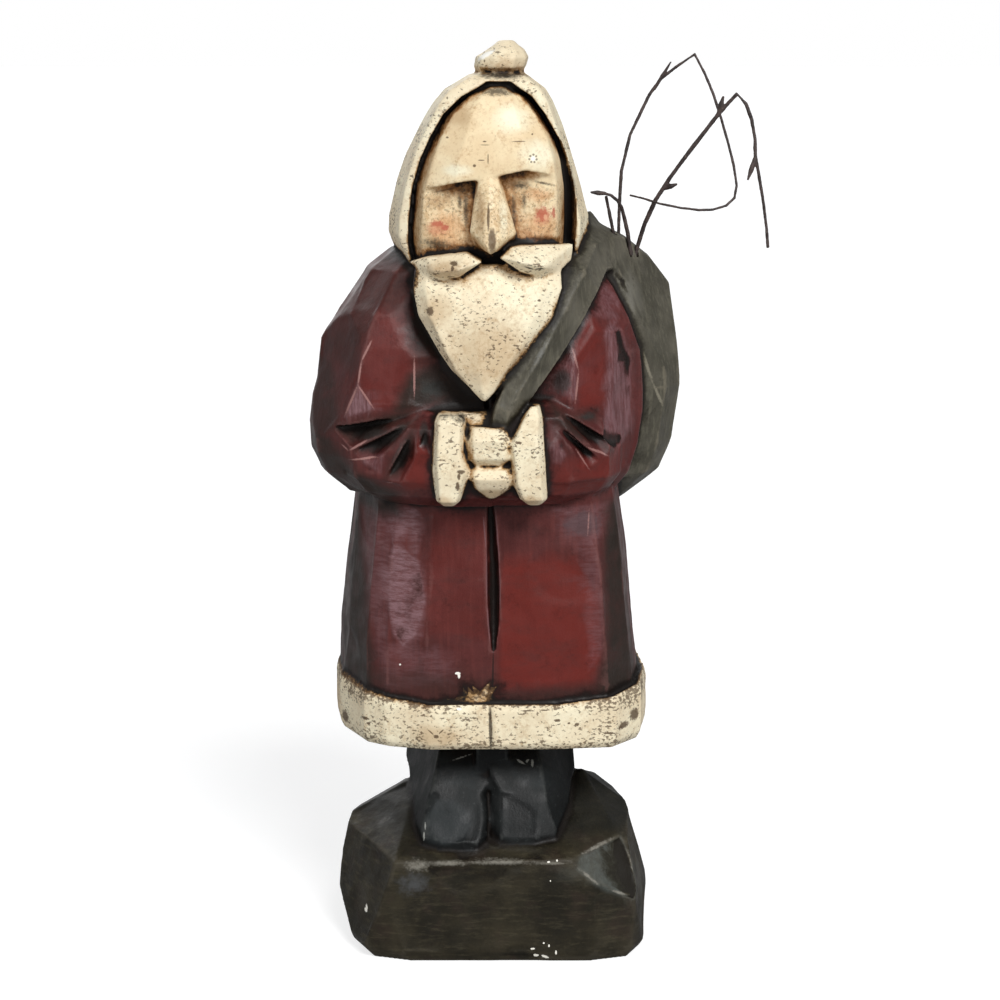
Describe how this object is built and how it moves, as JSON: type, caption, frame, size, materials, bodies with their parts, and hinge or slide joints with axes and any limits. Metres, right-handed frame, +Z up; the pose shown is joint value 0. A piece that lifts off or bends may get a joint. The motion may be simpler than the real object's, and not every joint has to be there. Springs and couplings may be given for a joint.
{
  "type": "santa figurine",
  "caption": "Cast and painted figurine of a hooded, bearded Father Christmas on a rock, hands clasped on the neck of a shoulder sack, with dry twigs stuck in the sack.",
  "frame": {"origin": "centre of the rock's flat underside, where the figurine stands", "axes": "+Z up, he faces -Y, +X is his left hand side, where the sack hangs"},
  "size_m": [0.1415, 0.0938, 0.28],
  "materials": {
    "painted_casting": "filled resin with hand-painted satin colours and a dark wiped glaze: dull red coat, cream fur, hair and skin, olive grey sack, black boots, dark olive rock",
    "twig": "dry dark bark"
  },
  "bodies": {
    "root": {"figure": "painted_casting", "twig_arched": "twig", "twig_looped": "twig", "twig_hooked": "twig", "twig_short": "twig"}
  },
  "joints": []
}
